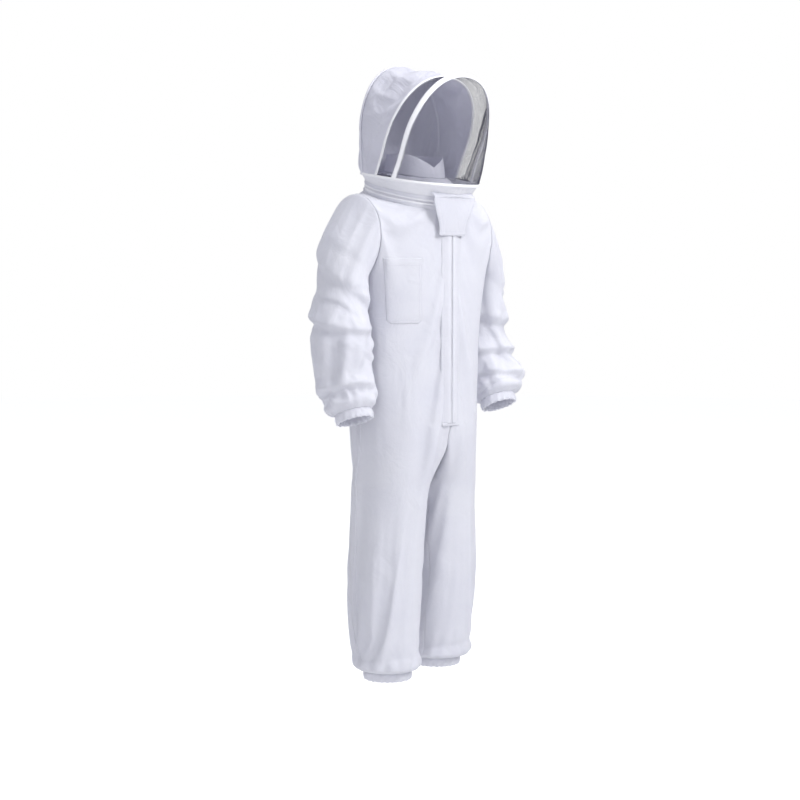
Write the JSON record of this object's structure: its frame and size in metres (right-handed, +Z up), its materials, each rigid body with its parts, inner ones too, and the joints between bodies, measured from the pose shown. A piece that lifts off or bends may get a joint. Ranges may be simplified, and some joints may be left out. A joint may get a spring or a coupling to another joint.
{
  "type": "beekeeping suit",
  "caption": "White cotton beekeeping coverall in its worn shape, with a zip-on round hood on sprung hoops, a black net veil, a throat flap and elasticated wrists and ankles.",
  "frame": {"origin": "middle of the wearer's neck at shoulder height, 1.47 m above the floor that the wearer stands on", "axes": "+Z up, -Y the wearer's front, +X the wearer's left"},
  "size_m": [0.7525, 0.3687, 1.7415],
  "materials": {
    "cotton": "matt plain-weave cotton, white with a cool tint",
    "lining": "matt cotton, inside the hood",
    "veil_net": "black polyester net with small holes",
    "zip_tape": "white woven tape",
    "zip_coil": "white moulded coil",
    "slider_metal": "white lacquered die-cast",
    "spring_steel": "flat coiled spring wire, hidden in the casings",
    "elastic": "knitted elastic band, hidden in the hems",
    "hook_and_loop": "white hook-and-loop tape"
  },
  "bodies": {
    "suit": {"front_body_left": "cotton", "front_body_right": "cotton", "back_body": "cotton", "trouser_leg_left": "cotton", "trouser_leg_right": "cotton", "chest_pocket": "cotton", "inner_yoke": "lining", "stand_collar": "lining", "ankle_hem_left": "cotton", "ankle_hem_right": "cotton", "ankle_elastic_left": "elastic", "ankle_elastic_right": "elastic", "front_zip_tape_left": "zip_tape", "front_zip_tape_right": "zip_tape", "front_zip_coil_left": "zip_coil", "front_zip_coil_right": "zip_coil", "front_zip_bottom_stop": "slider_metal", "neck_zip_tape_suit": "zip_tape", "neck_zip_coil_suit": "zip_coil", "suit_loop_patch_left": "hook_and_loop", "suit_loop_patch_right": "hook_and_loop"},
    "hood": {"hood_back_panel": "cotton", "hood_crown_panel": "cotton", "hood_lower_band": "cotton", "neck_zip_tape_hood": "zip_tape", "neck_zip_coil_hood": "zip_coil", "rear_hoop_casing": "cotton", "middle_hoop_casing": "cotton", "front_hoop_casing": "cotton", "rear_hoop_spring": "spring_steel", "middle_hoop_spring": "spring_steel", "front_hoop_spring": "spring_steel", "veil_side_net": "veil_net", "veil_front_net": "veil_net"},
    "flap": {"throat_flap": "cotton", "flap_hook_patch_left": "hook_and_loop", "flap_hook_patch_right": "hook_and_loop"},
    "zip_slider": {"front_zip_slider": "slider_metal"},
    "zip_pull": {"front_zip_pull": "slider_metal"},
    "neck_slider_l": {"neck_slider_left": "slider_metal"},
    "neck_slider_r": {"neck_slider_right": "slider_metal"},
    "left_sleeve": {"sleeve_left": "cotton", "wrist_hem_left": "cotton", "wrist_elastic_left": "elastic"},
    "right_sleeve": {"sleeve_right": "cotton", "wrist_hem_right": "cotton", "wrist_elastic_right": "elastic"}
  },
  "joints": [
    {"name": "hood_swing", "type": "hinge", "parent": "suit", "child": "hood", "pos_m": [0, 0.1344, 0.065], "axis": [-1, 0, 0], "range_deg": [0, 100]},
    {"name": "flap_lift", "type": "hinge", "parent": "hood", "child": "flap", "pos_m": [0, -0.1745, 0.008], "axis": [-1, 0, 0], "range_deg": [0, 105]},
    {"name": "front_zip", "type": "slide", "parent": "suit", "child": "zip_slider", "axis": [0, 0, -1], "range_m": [0, 0.565]},
    {"name": "pull_lift", "type": "hinge", "parent": "zip_slider", "child": "zip_pull", "pos_m": [0, -0.1634, -0.032], "axis": [-1, 0, 0], "range_deg": [0, 12]},
    {"name": "neck_zip_left", "type": "hinge", "parent": "suit", "child": "neck_slider_l", "pos_m": [0, -0.016, 0.0275], "axis": [0, -0.2419, 0.9703], "range_deg": [0, 118]},
    {"name": "neck_zip_right", "type": "hinge", "parent": "suit", "child": "neck_slider_r", "pos_m": [0, -0.016, 0.0275], "axis": [0, 0.2419, -0.9703], "range_deg": [0, 118]},
    {"name": "sleeve_swing_left", "type": "hinge", "parent": "suit", "child": "left_sleeve", "pos_m": [0.207, 0.01, -0.095], "axis": [-1, 0, 0], "range_deg": [-35, 95]},
    {"name": "sleeve_swing_right", "type": "hinge", "parent": "suit", "child": "right_sleeve", "pos_m": [-0.207, 0.01, -0.095], "axis": [-1, 0, 0], "range_deg": [-35, 95]}
  ]
}
